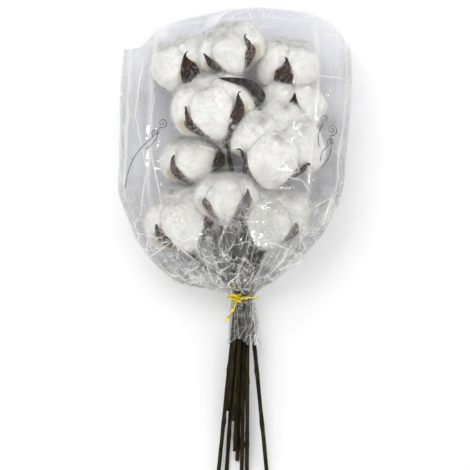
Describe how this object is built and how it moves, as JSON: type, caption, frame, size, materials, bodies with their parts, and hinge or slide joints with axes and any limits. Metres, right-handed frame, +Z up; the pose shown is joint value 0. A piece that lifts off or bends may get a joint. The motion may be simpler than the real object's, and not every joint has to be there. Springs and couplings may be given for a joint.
{
  "type": "cotton boll bouquet",
  "caption": "Bunch of dried cotton bolls on cut woody stems, gathered in a clear film sleeve and tied at the neck with a gold wire twist.",
  "frame": {"origin": "middle of the underside of the bunch's box, on the surface that it lies on", "axes": "+Y along the bunch towards the bolls and the sleeve's mouth, +Z up from the surface, +X to the right seen from above"},
  "size_m": [0.197, 0.4082, 0.1099],
  "materials": {
    "cotton_lint": "matt, fibrous, soft",
    "dry_wood": "dry bark and husk, dark brown with tan edges",
    "clear_film": "clear, glossy, crinkled",
    "gold_foil": "shiny metallic foil over wire"
  },
  "bodies": {
    "root": {"film_sleeve": "clear_film", "gold_wire_tie": "gold_foil", "upper_middle_bur_and_stem": "dry_wood", "upper_middle_lock_1": "cotton_lint", "upper_middle_lock_2": "cotton_lint", "upper_middle_lock_3": "cotton_lint", "upper_middle_lock_4": "cotton_lint", "centre_right_bur_and_stem": "dry_wood", "centre_right_lock_1": "cotton_lint", "centre_right_lock_2": "cotton_lint", "centre_right_lock_3": "cotton_lint", "centre_right_lock_4": "cotton_lint", "lower_middle_bur_and_stem": "dry_wood", "lower_middle_lock_1": "cotton_lint", "lower_middle_lock_2": "cotton_lint", "lower_middle_lock_3": "cotton_lint", "lower_middle_lock_4": "cotton_lint", "lower_right_bur_and_stem": "dry_wood", "lower_right_lock_1": "cotton_lint", "lower_right_lock_2": "cotton_lint", "lower_right_lock_3": "cotton_lint", "lower_right_lock_4": "cotton_lint", "top_bur_and_stem": "dry_wood", "top_lock_1": "cotton_lint", "top_lock_2": "cotton_lint", "top_lock_3": "cotton_lint", "top_lock_4": "cotton_lint", "top_right_bur_and_stem": "dry_wood", "top_right_lock_1": "cotton_lint", "top_right_lock_2": "cotton_lint", "top_right_lock_3": "cotton_lint", "top_right_lock_4": "cotton_lint", "right_bur_and_stem": "dry_wood", "right_lock_1": "cotton_lint", "right_lock_2": "cotton_lint", "right_lock_3": "cotton_lint", "right_lock_4": "cotton_lint", "lower_left_bur_and_stem": "dry_wood", "lower_left_lock_1": "cotton_lint", "lower_left_lock_2": "cotton_lint", "lower_left_lock_3": "cotton_lint", "lower_left_lock_4": "cotton_lint", "left_bur_and_stem": "dry_wood", "left_lock_1": "cotton_lint", "left_lock_2": "cotton_lint", "left_lock_3": "cotton_lint", "left_lock_4": "cotton_lint", "top_left_bur_and_stem": "dry_wood", "top_left_lock_1": "cotton_lint", "top_left_lock_2": "cotton_lint", "top_left_lock_3": "cotton_lint", "top_left_lock_4": "cotton_lint"}
  },
  "joints": []
}
